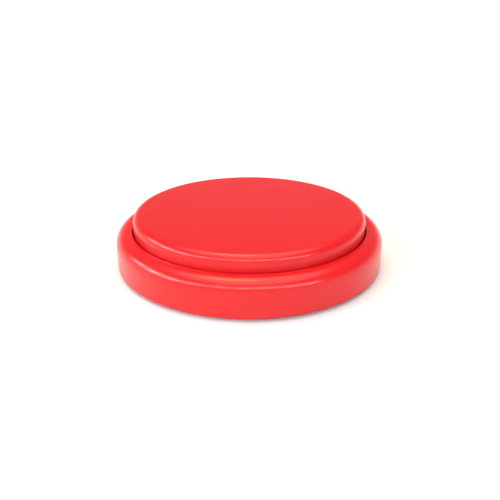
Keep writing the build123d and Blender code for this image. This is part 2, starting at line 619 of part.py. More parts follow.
def contact_coil(side, row):
    """A cone-shaped coil for a cell's flat end, rooted in the plate."""
    height = spring_height - CONTACT_WIRE_RADIUS
    with BuildLine() as coil:
        Helix(
            pitch=height / CONTACT_TURNS, height=height, radius=CONTACT_COIL_RADIUS, cone_angle=-20,
            center=(side * (CONTACT_X - CONTACT_THICK), row, CELL_Z), direction=(-side, 0, 0),
        )
    with BuildSketch(Plane(origin=coil.line @ 0, z_dir=coil.line % 0)) as wire:
        Circle(CONTACT_WIRE_RADIUS)
    sweep(wire.sketch, path=coil.line, is_frenet=True)


def contact_tab(row):
    """A solder tab out through the left wall."""
    block((-CONTACT_X - TAB_REACH, -CONTACT_X + OVERRUN), (row - TAB_WIDTH / 2, row + TAB_WIDTH / 2),
          (TAB_Z, TAB_Z + CONTACT_THICK))


with BuildPart() as battery_plate_contact:
    contact_plate(-1, CELL_ROWS[0] - CONTACT_WIDTH / 2, CELL_ROWS[0] + CONTACT_WIDTH / 2)
    contact_bump(-1, CELL_ROWS[0])
    contact_tab(CELL_ROWS[0])
save(battery_plate_contact.part, "battery_plate_contact")

with BuildPart() as battery_spring_contact:
    contact_plate(-1, CELL_ROWS[1] - CONTACT_WIDTH / 2, CELL_ROWS[1] + CONTACT_WIDTH / 2)
    contact_tab(CELL_ROWS[1])
    contact_coil(-1, CELL_ROWS[1])
save(battery_spring_contact.part, "battery_spring_contact")

with BuildPart() as battery_bridge_contact:
    contact_plate(1, CELL_ROWS[1] - CONTACT_WIDTH / 2, CELL_ROWS[0] + CONTACT_WIDTH / 2)
    contact_bump(1, CELL_ROWS[1])
    contact_coil(1, CELL_ROWS[0])
save(battery_bridge_contact.part, "battery_bridge_contact")

# ---------------------------------------------------------------- circuit board and switch

with BuildPart() as circuit_board:
    with BuildSketch(Plane.XY.offset(BOARD_Z)):
        with Locations((sum(BOARD_X) / 2, sum(BOARD_Y) / 2)):
            Rectangle(BOARD_X[1] - BOARD_X[0], BOARD_Y[1] - BOARD_Y[0])
        Circle(BOARD_LIMIT_RADIUS, mode=Mode.INTERSECT)
        with Locations(STANDOFFS):
            Circle(BOARD_SCREW_RADIUS + LOOSE_FIT, mode=Mode.SUBTRACT)
        with Locations([(x, 0) for x in SWITCH_PINS_X]):
            Circle(SWITCH_PIN_RADIUS + PIN_HOLE_FIT, mode=Mode.SUBTRACT)
    extrude(amount=BOARD_THICK)
save(circuit_board.part, "circuit_board")

with BuildPart() as board_screws:
    for x, y in STANDOFFS:
        screw(Plane.XY.offset(BOARD_TOP_Z).move(Location((x, y, 0))), BOARD_SCREW_RADIUS, *BOARD_SCREW)
save(board_screws.part, "board_screws")

with BuildPart() as microswitch_body:
    block(SWITCH_X, (-SWITCH_HALF_WIDTH, SWITCH_HALF_WIDTH), (BOARD_TOP_Z, SWITCH_TOP_Z))
    fillet(microswitch_body.edges().filter_by(Axis.Z), radius=SWITCH_EDGE_RADIUS)
    disc(PLUNGER_X, 0, SWITCH_TOP_Z - PLUNGER_HOLE_DEPTH, SWITCH_TOP_Z, PLUNGER_RADIUS + PIN_FIT, Mode.SUBTRACT)
    # Ears that carry the lever's pin
    for side in (-1, 1):
        ear_inner = LEVER_HALF_WIDTH + CLOSE_FIT
        ear_y = sorted((side * ear_inner, side * (ear_inner + EAR_THICK)))
        ear_x = (PIVOT_X - EAR_HALF_WIDTH, PIVOT_X + EAR_HALF_WIDTH)
        block(ear_x, ear_y, (SWITCH_TOP_Z, PIVOT_Z + LEVER_EYE_RADIUS))
    with BuildSketch(Plane(origin=(PIVOT_X, 0, PIVOT_Z), x_dir=(1, 0, 0), z_dir=(0, -1, 0))):
        Circle(PIVOT_RADIUS)
    extrude(amount=LEVER_HALF_WIDTH + CLOSE_FIT + EAR_THICK / 2, both=True)
    for x in SWITCH_PINS_X:
        disc(x, 0, BOARD_Z - PIN_OUT, BOARD_TOP_Z, SWITCH_PIN_RADIUS)
save(microswitch_body.part, "microswitch_body")

with BuildPart() as microswitch_lever:
    a = math.radians(LEVER_ANGLE)
    lever_plane = Plane(
        origin=(PIVOT_X, 0, PIVOT_Z), x_dir=(math.cos(a), 0, math.sin(a)), z_dir=(0, -1, 0)
    )
    with BuildSketch(lever_plane):
        with Locations((LEVER_LENGTH / 2, 0)):
            Rectangle(LEVER_LENGTH, LEVER_THICK)
        Circle(LEVER_EYE_RADIUS)
        Circle(PIVOT_RADIUS + PIN_FIT, mode=Mode.SUBTRACT)
    extrude(amount=LEVER_HALF_WIDTH, both=True)
save(microswitch_lever.part, "microswitch_lever")

with BuildPart() as microswitch_plunger:
    disc(PLUNGER_X, 0, SWITCH_TOP_Z - PLUNGER_DEPTH, plunger_centre_z, PLUNGER_RADIUS)
    with Locations((PLUNGER_X, 0, plunger_centre_z)):
        Sphere(PLUNGER_RADIUS)
save(microswitch_plunger.part, "microswitch_plunger")

with BuildPart() as sound_chip:
    disc(*CHIP_AT, BOARD_TOP_Z, BOARD_TOP_Z + CHIP_HEIGHT, CHIP_RADIUS)
    fillet(sound_chip.edges().group_by(Axis.Z)[-1], radius=CHIP_EDGE_RADIUS)
save(sound_chip.part, "sound_chip")

with BuildPart() as capacitor:
    disc(*CAPACITOR_AT, BOARD_TOP_Z, BOARD_TOP_Z + CAPACITOR_HEIGHT, CAPACITOR_RADIUS)
    fillet(capacitor.edges().group_by(Axis.Z)[-1], radius=CAPACITOR_EDGE_RADIUS)
save(capacitor.part, "capacitor")

with BuildPart() as resistors:
    with Locations([(x, y, BOARD_TOP_Z) for x, y in RESISTORS_AT]):
        Box(*RESISTOR_SIZE, align=(Align.CENTER, Align.CENTER, Align.MIN))
save(resistors.part, "resistors")

# ---------------------------------------------------------------- speaker

speaker_plane = Plane(origin=(SPEAKER_X, SPEAKER_Y, 0), x_dir=(1, 0, 0), z_dir=(0, -1, 0))
speaker_axis = Axis((SPEAKER_X, SPEAKER_Y, 0), (0, 0, 1))
cone_rim_z = FLANGE_Z + 0.6
basket_back_z = FLANGE_Z + BASKET_DEPTH


def turned(*points):
    """Revolve an outline of (radius, height) points round the speaker's axis."""
    with BuildSketch(speaker_plane) as outline:
        with BuildLine():
            Polyline(*points, close=True)
        make_face()
    revolve(outline.sketch, axis=speaker_axis)


with BuildPart() as speaker_gasket:
    turned(
        (GASKET_INNER_RADIUS, FLOOR_Z),
        (SPEAKER_RADIUS, FLOOR_Z),
        (SPEAKER_RADIUS, FLANGE_Z),
        (GASKET_INNER_RADIUS, FLANGE_Z),
    )
save(speaker_gasket.part, "speaker_gasket")

with BuildPart() as speaker_basket:
    turned(
        (CONE_RIM_RADIUS, FLANGE_Z),
        (SPEAKER_RADIUS, FLANGE_Z),
        (SPEAKER_RADIUS, CLAMP_Z),
        (FLANGE_INNER_RADIUS, CLAMP_Z),
        (BASKET_BACK_RADIUS, basket_back_z - 0.4),
        (BASKET_BACK_RADIUS, basket_back_z),
        (0, basket_back_z),
        (0, basket_back_z - BASKET_WALL),
        (6.9, basket_back_z - BASKET_WALL),
        (11.5, cone_rim_z),
        (CONE_RIM_RADIUS, cone_rim_z),
    )
save(speaker_basket.part, "speaker_basket")

with BuildPart() as speaker_cone:
    turned(
        (12.1, cone_rim_z - 0.4),
        (12.1, cone_rim_z),
        (10.9, cone_rim_z),
        (10.0, cone_rim_z - 0.2),
        (3.4, cone_rim_z + 1.6),
        (0, cone_rim_z + 0.9),
        (0, cone_rim_z + 0.6),
        (3.3, cone_rim_z + 1.2),
        (9.9, cone_rim_z - 0.5),
        (11.0, cone_rim_z - 0.4),
    )
save(speaker_cone.part, "speaker_cone")

with BuildPart() as speaker_magnet:
    disc(SPEAKER_X, SPEAKER_Y, basket_back_z, basket_back_z + MAGNET_THICK, MAGNET_RADIUS)
    fillet(speaker_magnet.edges().group_by(Axis.Z)[-1], radius=MAGNET_EDGE_RADIUS)
save(speaker_magnet.part, "speaker_magnet")

with BuildPart() as speaker_clamp:
    with BuildSketch(Plane.XY.offset(CLAMP_Z)):
        with Locations((SPEAKER_X, SPEAKER_Y)):
            Circle(SPEAKER_RADIUS + CLAMP_RIM)
            with PolarLocations(CLAMP_CIRCLE, 3, start_angle=CLAMP_ANGLES[0]):
                Circle(CLAMP_EAR_RADIUS)
            with PolarLocations(CLAMP_CIRCLE, 3, start_angle=CLAMP_ANGLES[0]):
                Circle(SPEAKER_SCREW_RADIUS + LOOSE_FIT, mode=Mode.SUBTRACT)
            Circle(CLAMP_INNER_RADIUS, mode=Mode.SUBTRACT)
    extrude(amount=CLAMP_THICK)
save(speaker_clamp.part, "speaker_clamp")

with BuildPart() as speaker_screws:
    for angle in CLAMP_ANGLES:
        dx, dy = on_circle(CLAMP_CIRCLE, angle)
        seat = Plane.XY.offset(CLAMP_Z + CLAMP_THICK).move(Location((SPEAKER_X + dx, SPEAKER_Y + dy, 0)))
        screw(seat, SPEAKER_SCREW_RADIUS, *SPEAKER_SCREW)
save(speaker_screws.part, "speaker_screws")

with BuildPart() as speaker_terminal_board:
    clamp_top_z = CLAMP_Z + CLAMP_THICK
    with Locations((TERMINAL_X, SPEAKER_Y, clamp_top_z)):
        Box(*TERMINAL_SIZE, align=(Align.CENTER, Align.CENTER, Align.MIN))
save(speaker_terminal_board.part, "speaker_terminal_board")

# ---------------------------------------------------------------- power switch

with BuildPart() as power_switch_body:
    flange_x, flange_y, flange_z = POWER_FLANGE
    can_x, can_y, can_z = POWER_CAN
    block_x, block_y, block_z = POWER_BLOCK
    can_top_z = FLOOR_Z + flange_z + can_z
    block(
        (POWER_X - flange_x / 2, POWER_X + flange_x / 2),
        (POWER_Y - flange_y / 2, POWER_Y + flange_y / 2),
        (FLOOR_Z, FLOOR_Z + flange_z),
    )
    block(
        (POWER_X - can_x / 2, POWER_X + can_x / 2),
        (POWER_Y - can_y / 2, POWER_Y + can_y / 2),
        (FLOOR_Z, can_top_z),
    )
    for side in (-1, 1):
        disc(
            POWER_X, POWER_Y + side * POWER_PEG_OFFSET, FLOOR_Z, FLOOR_Z + flange_z,
            POWER_PEG_RADIUS + PLAY, Mode.SUBTRACT,
        )
    # Hollow in which the knob's block slides, and the slot for its stem
    knob_block_z = FLOOR_Z + flange_z + POWER_SLOT_PLATE + POWER_BLOCK_FIT
    hollow_y = block_y + POWER_TRAVEL + 2 * LOOSE_FIT
    block(
        (POWER_X - block_x / 2 - POWER_BLOCK_FIT, POWER_X + block_x / 2 + POWER_BLOCK_FIT),
        (POWER_Y - hollow_y / 2, POWER_Y + hollow_y / 2),
        (knob_block_z - POWER_BLOCK_FIT, knob_block_z + block_z + POWER_BLOCK_FIT),
        Mode.SUBTRACT,
    )
    block(
        (POWER_X - POWER_STEM / 2 - CLOSE_FIT, POWER_X + POWER_STEM / 2 + CLOSE_FIT),
        (POWER_Y - slot_length / 2, POWER_Y + slot_length / 2),
        (FLOOR_Z, knob_block_z + POWER_BLOCK_FIT),
        Mode.SUBTRACT,
    )
    for terminal in POWER_TERMINALS:
        disc(POWER_X, POWER_Y + terminal, can_top_z, can_top_z + POWER_TERMINAL_HEIGHT, POWER_TERMINAL_RADIUS)
save(power_switch_body.part, "power_switch_body")

with BuildPart() as power_switch_knob:
    knob_y = POWER_Y - POWER_TRAVEL / 2
    block(
        (POWER_X - block_x / 2, POWER_X + block_x / 2),
        (knob_y - block_y / 2, knob_y + block_y / 2),
        (knob_block_z, knob_block_z + block_z),
    )
    block(
        (POWER_X - POWER_STEM / 2, POWER_X + POWER_STEM / 2),
        (knob_y - POWER_STEM / 2, knob_y + POWER_STEM / 2),
        (BASE_Z + CLOSE_FIT, knob_block_z + OVERRUN),
    )
save(power_switch_knob.part, "power_switch_knob")

# ---------------------------------------------------------------- leads

lead_tab_x = -CONTACT_X - TAB_REACH + LEAD_RADIUS + OVERRUN
wire_z = FLOOR_Z + LEAD_RADIUS + 0.3
hop_z = BOARD_TOP_Z + 2.2
loop_z = BOARD_TOP_Z + 3.4
terminal_z = can_top_z + POWER_TERMINAL_HEIGHT
speaker_pad_z = clamp_top_z + TERMINAL_SIZE[2]

lead_routes = {
    "battery_lead_red": [
        (lead_tab_x, CELL_ROWS[0], TAB_Z),
        (lead_tab_x, CELL_ROWS[0], wire_z),
        (lead_tab_x, -2.4, wire_z),
        (-9.0, -2.4, wire_z),
        (-6.4, -2.4, hop_z),
        (-2.6, -2.4, hop_z),
        (-2.6, -2.4, BOARD_TOP_Z),
    ],
    "battery_lead_black": [
        (lead_tab_x, CELL_ROWS[1], TAB_Z),
        (lead_tab_x, CELL_ROWS[1], wire_z),
        (-33.6, -20.0, wire_z),
        (-33.6, -8.0, wire_z),
        (-29.8, -0.6, wire_z),
        (-9.0, -0.6, wire_z),
        (-6.4, -0.6, hop_z),
        (-2.6, -0.6, hop_z),
        (-2.6, -0.6, BOARD_TOP_Z),
    ],
    "speaker_lead_1": [
        (-7.0, SPEAKER_Y - 1.8, speaker_pad_z),
        (-7.0, SPEAKER_Y - 1.8, loop_z),
        (-2.4, SPEAKER_Y - 1.8, loop_z),
        (-2.4, SPEAKER_Y - 1.8, BOARD_TOP_Z),
    ],
    "speaker_lead_2": [
        (-7.0, SPEAKER_Y + 1.8, speaker_pad_z),
        (-7.0, SPEAKER_Y + 1.8, loop_z),
        (-2.4, SPEAKER_Y + 1.8, loop_z),
        (-2.4, SPEAKER_Y + 1.8, BOARD_TOP_Z),
    ],
    "switch_lead_1": [
        (POWER_X, POWER_Y + POWER_TERMINALS[2], terminal_z),
        (POWER_X, POWER_Y + POWER_TERMINALS[2], terminal_z + 3.0),
        (30.4, -7.0, terminal_z + 3.0),
        (30.0, -1.4, terminal_z + 3.0),
        (30.0, -1.4, BOARD_TOP_Z),
    ],
    "switch_lead_2": [
        (POWER_X, POWER_Y + POWER_TERMINALS[0], terminal_z),
        (POWER_X, POWER_Y + POWER_TERMINALS[0], terminal_z + 3.0),
        (28.8, -12.0, terminal_z + 3.0),
        (27.4, -1.4, terminal_z + 3.0),
        (27.4, -1.4, BOARD_TOP_Z),
    ],
}


def bend_radii(points):
    """One radius for each corner: 0.45 of its shorter run over the tangent of half its turn."""
    radii = []
    for before, corner, after in zip(points, points[1:], points[2:]):
        run_in = Vector(*corner) - Vector(*before)
        run_out = Vector(*after) - Vector(*corner)
        half_turn = math.radians(run_in.get_angle(run_out) / 2)
        radii.append(min(0.45 * min(run_in.length, run_out.length) / math.tan(half_turn), 4.0))
    return radii


for name, route in lead_routes.items():
    radii = bend_radii(route)
    with BuildPart() as lead:
        with BuildLine() as path:
            FilletPolyline(*route, radius=radii)
        with BuildSketch(Plane(origin=path.line @ 0, z_dir=path.line % 0)):
            Circle(LEAD_RADIUS)
        sweep(path=path.line)
    straight = math.pi * LEAD_RADIUS**2 * sum(edge.length for edge in path.edges())
    print(f"{name}: radii {[round(r, 1) for r in radii]}, volume over section times length "
          f"{lead.part.volume / straight:.3f}")
    save(lead.part, name)
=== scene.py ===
import bpy
import json
import math
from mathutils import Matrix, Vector


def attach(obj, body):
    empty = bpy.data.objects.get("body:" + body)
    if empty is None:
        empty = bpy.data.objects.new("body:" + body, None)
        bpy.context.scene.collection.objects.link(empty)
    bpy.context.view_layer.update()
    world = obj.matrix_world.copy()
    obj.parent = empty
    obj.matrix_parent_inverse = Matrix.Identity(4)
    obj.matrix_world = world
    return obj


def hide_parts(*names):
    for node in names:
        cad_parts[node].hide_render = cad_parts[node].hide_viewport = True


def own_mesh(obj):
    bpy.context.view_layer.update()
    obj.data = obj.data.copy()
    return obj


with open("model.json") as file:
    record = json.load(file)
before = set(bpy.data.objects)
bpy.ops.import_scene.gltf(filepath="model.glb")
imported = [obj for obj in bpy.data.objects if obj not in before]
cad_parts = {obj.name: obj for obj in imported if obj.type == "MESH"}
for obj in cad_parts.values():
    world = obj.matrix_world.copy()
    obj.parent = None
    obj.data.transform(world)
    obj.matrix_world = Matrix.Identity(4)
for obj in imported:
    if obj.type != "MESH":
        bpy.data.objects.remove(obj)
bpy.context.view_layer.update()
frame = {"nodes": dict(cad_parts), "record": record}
nodes = frame["nodes"]
MM = 0.001


# ---------------------------------------------------------------- materials

# The part of a noise's range that most of its values lie in
NOISE_LOW, NOISE_HIGH = 0.3, 0.7
# Moulded plastic: features per metre, change in roughness, and the strength of the grain
CLOUD_SCALE, GLOSS_SCALE, GLOSS_CHANGE, GRAIN_STRENGTH = 60, 400, 0.02, 0.1
# Printed film: features per metre, changes in roughness, and the bump's strength and depth in millimetres
FILM_GLOSS_SCALE, FILM_GLOSS_CHANGE = 500, (-0.03, 0.05)
FILM_GRAIN_SCALE, FILM_GRAIN_STRENGTH, FILM_GRAIN_DEPTH = 900, 0.1, 0.003
# Metal: the streaks' darker colour, their changes in roughness, and their strength and depth in millimetres
STREAK_SHADE, STREAK_GLOSS_CHANGE = 0.82, (-0.06, 0.08)
STREAK_STRENGTH, STREAK_DEPTH = 0.2, 0.003


def new_material(name):
    """An empty node material; returns it with its tree and its shader."""
    material = bpy.data.materials.new(name)
    material.use_nodes = True
    tree = material.node_tree
    return material, tree, tree.nodes["Principled BSDF"]


def noise(tree, scale, detail=2.0, roughness=0.5, stretch=(1, 1, 1)):
    """Noise in object space; scale is in features per metre."""
    where = tree.nodes.new("ShaderNodeTexCoord")
    mapping = tree.nodes.new("ShaderNodeMapping")
    mapping.inputs["Scale"].default_value = stretch
    texture = tree.nodes.new("ShaderNodeTexNoise")
    texture.inputs["Scale"].default_value = scale
    texture.inputs["Detail"].default_value = detail
    texture.inputs["Roughness"].default_value = roughness
    tree.links.new(where.outputs["Object"], mapping.inputs["Vector"])
    tree.links.new(mapping.outputs["Vector"], texture.inputs["Vector"])
    return texture.outputs["Fac"]


def spread(tree, value, low, high):
    """Maps a 0 to 1 value to a range."""
    node = tree.nodes.new("ShaderNodeMapRange")
    node.inputs["From Min"].default_value = NOISE_LOW
    node.inputs["From Max"].default_value = NOISE_HIGH
    node.inputs["To Min"].default_value = low
    node.inputs["To Max"].default_value = high
    tree.links.new(value, node.inputs["Value"])
    return node.outputs["Result"]


def two_colours(tree, value, colour_a, colour_b):
    """Goes from colour_a to colour_b as value goes from 0 to 1."""
    node = tree.nodes.new("ShaderNodeMix")
    node.data_type = "RGBA"
    node.inputs["A"].default_value = (*colour_a, 1)
    node.inputs["B"].default_value = (*colour_b, 1)
    tree.links.new(value, node.inputs["Factor"])
    return node.outputs["Result"]


def bump(tree, shader, height, strength, distance):
    """Raises the surface by a height from 0 to 1; distance is in metres."""
    node = tree.nodes.new("ShaderNodeBump")
    node.inputs["Strength"].default_value = strength
    node.inputs["Distance"].default_value = distance
    tree.links.new(height, node.inputs["Height"])
    tree.links.new(node.outputs["Normal"], shader.inputs["Normal"])


def moulded(name, colour, darker, roughness, grain=1600, depth=0.0015, ior=1.46):
    """Moulded plastic: a fine satin grain and slight cloudiness in colour and gloss."""
    material, tree, shader = new_material(name)
    cloud = spread(tree, noise(tree, CLOUD_SCALE), 0, 1)
    tree.links.new(two_colours(tree, cloud, colour, darker), shader.inputs["Base Color"])
    fine = noise(tree, GLOSS_SCALE, 3.0)
    gloss = spread(tree, fine, roughness - GLOSS_CHANGE, roughness + GLOSS_CHANGE)
    tree.links.new(gloss, shader.inputs["Roughness"])
    shader.inputs["IOR"].default_value = ior
    bump(tree, shader, noise(tree, grain), GRAIN_STRENGTH, depth * MM)
    return material


def banded(name, colour, band, start, roughness):
    """A plain printed film: one colour, and another beyond start millimetres along the piece's X."""
    material, tree, shader = new_material(name)
    where = tree.nodes.new("ShaderNodeTexCoord")
    split = tree.nodes.new("ShaderNodeSeparateXYZ")
    beyond = tree.nodes.new("ShaderNodeMath")
    beyond.operation = "GREATER_THAN"
    beyond.inputs[1].default_value = start * MM
    tree.links.new(where.outputs["Object"], split.inputs["Vector"])
    tree.links.new(split.outputs["X"], beyond.inputs[0])
    tree.links.new(two_colours(tree, beyond.outputs["Value"], colour, band), shader.inputs["Base Color"])
    fine = noise(tree, FILM_GLOSS_SCALE, 3.0)
    gloss = spread(tree, fine, *(roughness + change for change in FILM_GLOSS_CHANGE))
    tree.links.new(gloss, shader.inputs["Roughness"])
    bump(tree, shader, noise(tree, FILM_GRAIN_SCALE), FILM_GRAIN_STRENGTH, FILM_GRAIN_DEPTH * MM)
    return material


def metal(name, colour, roughness, stretch=(1, 1, 12), grain=3000):
    """Drawn or stamped metal with fine streaks."""
    material, tree, shader = new_material(name)
    streaks = noise(tree, grain, 3.0, 0.6, stretch)
    darker = tuple(STREAK_SHADE * c for c in colour)
    tone = two_colours(tree, spread(tree, streaks, 0, 1), colour, darker)
    gloss = spread(tree, streaks, *(roughness + change for change in STREAK_GLOSS_CHANGE))
    tree.links.new(tone, shader.inputs["Base Color"])
    tree.links.new(gloss, shader.inputs["Roughness"])
    shader.inputs["Metallic"].default_value = 1.0
    bump(tree, shader, streaks, STREAK_STRENGTH, STREAK_DEPTH * MM)
    return material


# The plastic of the cap and the base ring, and its slightly darker clouds
RED = (0.575, 0.009, 0.012)
RED_DARK = (0.56, 0.008, 0.011)

finishes = {
    "red_plastic": moulded("red_plastic", RED, RED_DARK, 0.25, ior=1.45),
    "foot_rubber": moulded("foot_rubber", (0.03, 0.03, 0.032), (0.02, 0.02, 0.022), 0.75, 2500, 0.01),
    "screw_steel": metal("screw_steel", (0.62, 0.62, 0.6), 0.3),
    "spring_steel": metal("spring_steel", (0.6, 0.6, 0.6), 0.25),
    "contact_plate": metal("contact_plate", (0.72, 0.7, 0.64), 0.22),
    "cell_jacket": banded("cell_jacket", (0.03, 0.033, 0.04), (0.62, 0.27, 0.09), 7.5, 0.28),
    "board_laminate": moulded("board_laminate", (0.01, 0.14, 0.05), (0.01, 0.11, 0.04), 0.35),
    "switch_case": moulded("switch_case", (0.02, 0.02, 0.022), (0.015, 0.015, 0.017), 0.5),
    "lever_steel": metal("lever_steel", (0.7, 0.7, 0.7), 0.2),
    "plunger_plastic": moulded("plunger_plastic", (0.55, 0.03, 0.02), (0.5, 0.03, 0.02), 0.35),
    "chip_epoxy": moulded("chip_epoxy", (0.01, 0.01, 0.011), (0.008, 0.008, 0.009), 0.15),
    "capacitor_sleeve": moulded("capacitor_sleeve", (0.01, 0.02, 0.09), (0.01, 0.02, 0.08), 0.25),
    "resistor_body": moulded("resistor_body", (0.02, 0.02, 0.02), (0.015, 0.015, 0.015), 0.4),
    "gasket_foam": moulded("gasket_foam", (0.03, 0.03, 0.03), (0.02, 0.02, 0.02), 0.9, 2500, 0.03),
    "basket_steel": metal("basket_steel", (0.6, 0.6, 0.58), 0.3),
    "cone_paper": moulded("cone_paper", (0.02, 0.02, 0.02), (0.03, 0.03, 0.028), 0.85, 2500, 0.03),
    "magnet_ferrite": moulded("magnet_ferrite", (0.05, 0.05, 0.05), (0.04, 0.04, 0.04), 0.45),
    "clamp_plastic": moulded("clamp_plastic", (0.7, 0.7, 0.67), (0.66, 0.66, 0.63), 0.45),
    "terminal_laminate": moulded("terminal_laminate", (0.3, 0.16, 0.06), (0.25, 0.13, 0.05), 0.5),
    "power_case": metal("power_case", (0.66, 0.66, 0.66), 0.28),
    "knob_plastic": moulded("knob_plastic", (0.015, 0.015, 0.016), (0.012, 0.012, 0.013), 0.4),
    "lead_red": moulded("lead_red", (0.5, 0.01, 0.01), (0.45, 0.01, 0.01), 0.35),
    "lead_black": moulded("lead_black", (0.012, 0.012, 0.013), (0.01, 0.01, 0.011), 0.35),
    "lead_white": moulded("lead_white", (0.7, 0.7, 0.68), (0.66, 0.66, 0.64), 0.35),
}

for part in frame["record"]["subparts"]:
    for slot in nodes[part["node"]].material_slots:
        slot.material = finishes[part["material_slot"]]


# ---------------------------------------------------------------- detailed pieces, in millimetres

SHARP_ANGLE = 38                # degrees; edges that turn further than this stay crisp


def piece(name, points, faces, slot, body="base", place=(0, 0, 0), turn=0.0):
    """A new mesh from points in millimetres, smooth except at sharp edges, riding on a body."""
    mesh = bpy.data.meshes.new(name)
    mesh.from_pydata([tuple(MM * c for c in point) for point in points], [], faces)
    mesh.validate()
    mesh.polygons.foreach_set("use_smooth", [True] * len(mesh.polygons))
    mesh.set_sharp_from_angle(angle=math.radians(SHARP_ANGLE))
    mesh.materials.append(finishes[slot])
    thing = bpy.data.objects.new(name, mesh)
    thing.location = [MM * c for c in place]
    thing.rotation_euler = (0, 0, turn)
    bpy.context.scene.collection.objects.link(thing)
    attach(thing, body)
    return thing


def turned(profile, steps=72, centre=(0, 0, 0), along_x=False):
    """A closed solid turned from (radius, height) points, from one end on the axis to the other."""
    points, faces = [], []
    for radius, height in profile[1:-1]:
        for i in range(steps):
            a = 2 * math.pi * i / steps
            points.append((radius * math.cos(a), radius * math.sin(a), height))
    rings = len(profile) - 2
    for ring in range(rings - 1):
        for i in range(steps):
            low, high = ring * steps, (ring + 1) * steps
            j = (i + 1) % steps
            faces.append((low + i, low + j, high + j, high + i))
    bottom, top = len(points), len(points) + 1
    points += [(0, 0, profile[0][1]), (0, 0, profile[-1][1])]
    last = (rings - 1) * steps
    for i in range(steps):
        j = (i + 1) % steps
        faces += [(bottom, j, i), (top, last + i, last + j)]
    if along_x:
        points = [(z, x, y) for x, y, z in points]
    cx, cy, cz = centre
    return [(x + cx, y + cy, z + cz) for x, y, z in points], faces


def tube(path, radius, sides=12):
    """A round wire along a path, closed at both ends."""
    path = [Vector(point) for point in path]
    points, faces = [], []
    tangent = (path[1] - path[0]).normalized()
    side = tangent.orthogonal().normalized()
    for i, point in enumerate(path):
        ahead = path[min(i + 1, len(path) - 1)] - path[max(i - 1, 0)]
        side = (side - ahead.normalized() * side.dot(ahead.normalized())).normalized()
        other = ahead.normalized().cross(side)
        for k in range(sides):
            a = 2 * math.pi * k / sides
            points.append(tuple(point + radius * (math.cos(a) * side + math.sin(a) * other)))
    for i in range(len(path) - 1):
        for k in range(sides):
            j = (k + 1) % sides
            faces.append((i * sides + k, i * sides + j, (i + 1) * sides + j, (i + 1) * sides + k))
    faces.append(tuple(reversed(range(sides))))
    faces.append(tuple(range((len(path) - 1) * sides, len(path) * sides)))
    return points, faces


def box(low, high):
    """A rectangular block between two corners."""
    (x0, y0, z0), (x1, y1, z1) = low, high
    points = [(x, y, z) for x in (x0, x1) for y in (y0, y1) for z in (z0, z1)]
    return points, [(0, 1, 3, 2), (4, 6, 7, 5), (0, 4, 5, 1), (2, 3, 7, 6), (0, 2, 6, 4), (1, 5, 7, 3)]


def joined(parts):
    """Several solids as one mesh."""
    points, faces = [], []
    for more_points, more_faces in parts:
        faces += [tuple(len(points) + index for index in face) for face in more_faces]
        points += more_points
    return points, faces


# Return springs with closed, ground ends, built at one fixed length here; in the real buzzer they shorten as
# the cap goes down
SPRING_LOW, SPRING_HIGH, CAP_STROKE = 3.0, 18.1, 2.5
SPRING_RADIUS, WIRE_RADIUS = 3.05, 0.25
CLOSED_TURNS, OPEN_TURNS, TURN_STEPS = 1.2, 6.0, 28
CLOSED_PITCH = 2.1 * WIRE_RADIUS
GROUND_END = 0.14               # from the ground face to the end of the wire's centre line
SPRINGS_AT = ((36, 0), (0, 36), (-36, 0), (0, -36))


def spring_path(x, y):
    """The wire's centre line, from the closed lower end to the closed upper end."""
    first, last = SPRING_LOW + GROUND_END, SPRING_HIGH - GROUND_END
    closed_rise = CLOSED_PITCH * CLOSED_TURNS
    turns = 2 * CLOSED_TURNS + OPEN_TURNS
    path = []
    for i in range(round(turns * TURN_STEPS) + 1):
        t = i / TURN_STEPS
        if t < CLOSED_TURNS:
            z = first + closed_rise * t / CLOSED_TURNS
        elif t > CLOSED_TURNS + OPEN_TURNS:
            z = last - closed_rise * (turns - t) / CLOSED_TURNS
        else:
            z = first + closed_rise + (last - first - 2 * closed_rise) * (t - CLOSED_TURNS) / OPEN_TURNS
        a = 2 * math.pi * t
        path.append((x + SPRING_RADIUS * math.cos(a), y + SPRING_RADIUS * math.sin(a), z))
    return path


for i, (x, y) in enumerate(SPRINGS_AT):
    points, faces = tube(spring_path(x, y), WIRE_RADIUS)
    points = [(px, py, min(max(pz, SPRING_LOW), SPRING_HIGH)) for px, py, pz in points]
    spring = piece(f"spring_wire_{i + 1}", points, faces, "spring_steel")
    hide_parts(f"return_spring_{i + 1}")
    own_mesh(spring)

# Cells: a steel can with a nub, in a film jacket with rolled ends and a plain band
CELL_TIP_X, CELL_Z, CELL_HALF = 23.8, 8.3, 22.25
CELLS = ((1, -11.55, -1), (2, -22.55, 1))    # number, row, and the side that the nub faces
CAN_PROFILE = [
    (0, -CELL_HALF), (3.3, -CELL_HALF), (3.5, -22.1), (3.6, -21.95), (4.3, -21.95), (4.5, -22.1), (4.9, -22.0),
    (5.0, -21.8), (5.0, 21.1), (4.8, 21.3), (4.2, 21.35), (3.0, 21.4), (2.6, 21.45), (2.0, 21.5), (1.9, 21.6),
    (1.9, 22.1), (1.75, CELL_HALF), (0, CELL_HALF),
]
FILM_PROFILE = [
    (0, -21.7), (4.4, -21.7), (4.5, -22.0), (4.7, -22.15), (4.95, -22.1), (5.12, -21.9), (5.15, -21.6),
    (5.15, 20.9), (5.1, 21.2), (4.95, 21.4), (4.7, 21.45), (4.5, 21.4), (4.4, 21.2), (0, 21.0),
]
can = turned(CAN_PROFILE, along_x=True)
jacket = turned(FILM_PROFILE, along_x=True)
for number, row, facing in CELLS:
    place = (facing * (CELL_TIP_X - CELL_HALF), row, CELL_Z)
    turn = 0.0 if facing > 0 else math.pi
    steel = piece(f"cell_can_{number}", *can, "contact_plate", place=place, turn=turn)
    film = piece(f"cell_film_{number}", *jacket, "cell_jacket", place=place, turn=turn)
    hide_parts(f"battery_cell_{number}")
    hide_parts(f"battery_cell_{number}")

